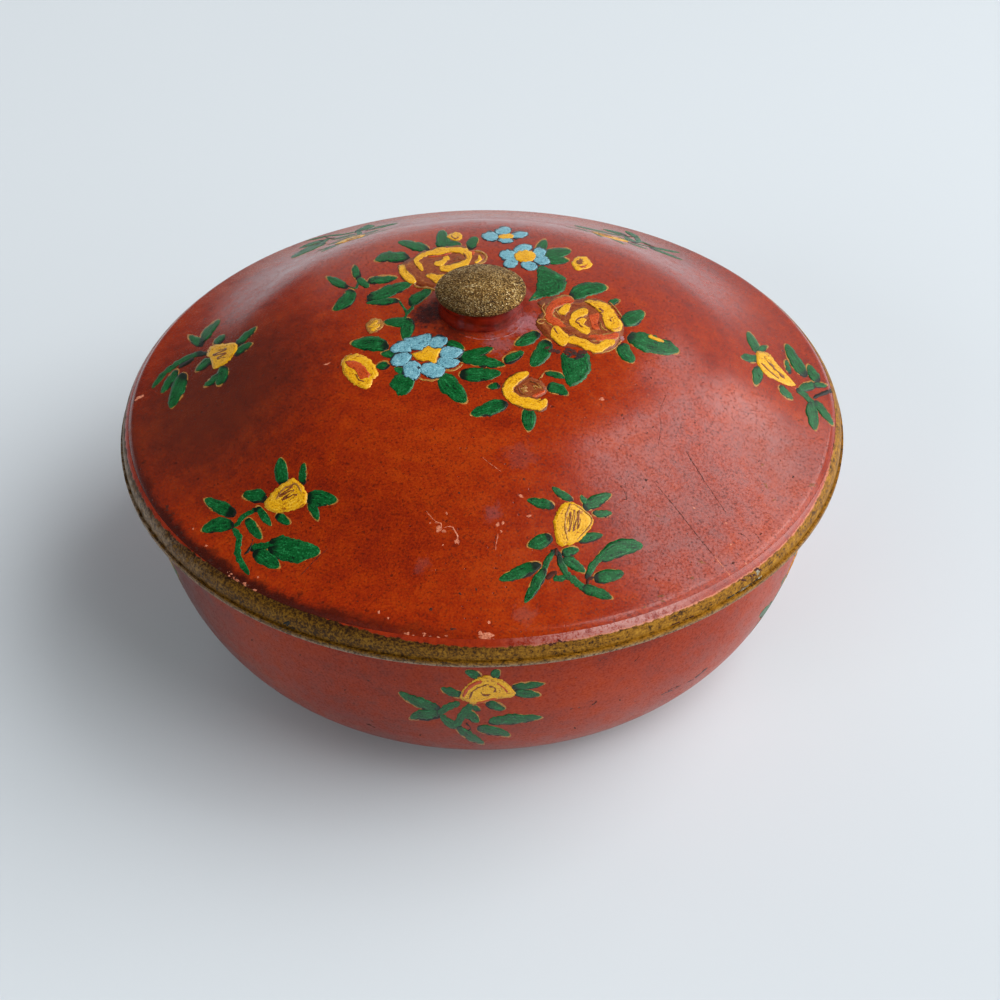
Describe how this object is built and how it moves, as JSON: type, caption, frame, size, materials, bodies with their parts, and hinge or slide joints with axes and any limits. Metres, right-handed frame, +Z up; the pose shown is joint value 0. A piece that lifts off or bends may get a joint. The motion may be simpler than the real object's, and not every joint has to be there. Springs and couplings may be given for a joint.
{
  "type": "painted tin lidded bowl",
  "caption": "Low round tin bowl with a slip-over domed lid, gilded rim band and button knob, painted red with flower sprigs, for keeping dry goods.",
  "frame": {"origin": "middle of the base, on the surface the box stands on", "axes": "+Z up along the axis of the bowl and lid, -Y towards the front sprig on the bowl"},
  "size_m": [0.216, 0.216, 0.1122],
  "materials": {
    "red_paint": "hand-painted gloss, worn",
    "gilt_band": "bronze-gold paint, worn to grey tin at the edge",
    "gilt_cap": "coarse gilding, worn",
    "neck_paint": "turned and painted, gloss",
    "bare_steel": "dull, tarnished"
  },
  "bodies": {
    "bowl": {"bowl_shell": "red_paint", "bowl_rim_wire": "bare_steel"},
    "lid": {"lid_dome": "red_paint", "lid_rim_hoop": "gilt_band", "knob_neck": "neck_paint", "knob_cap": "gilt_cap", "knob_screw": "bare_steel", "knob_washer": "bare_steel"}
  },
  "joints": [
    {"name": "lid_lift", "type": "slide", "parent": "bowl", "child": "lid", "axis": [0, 0, 1], "range_m": [0, 0.08]}
  ]
}
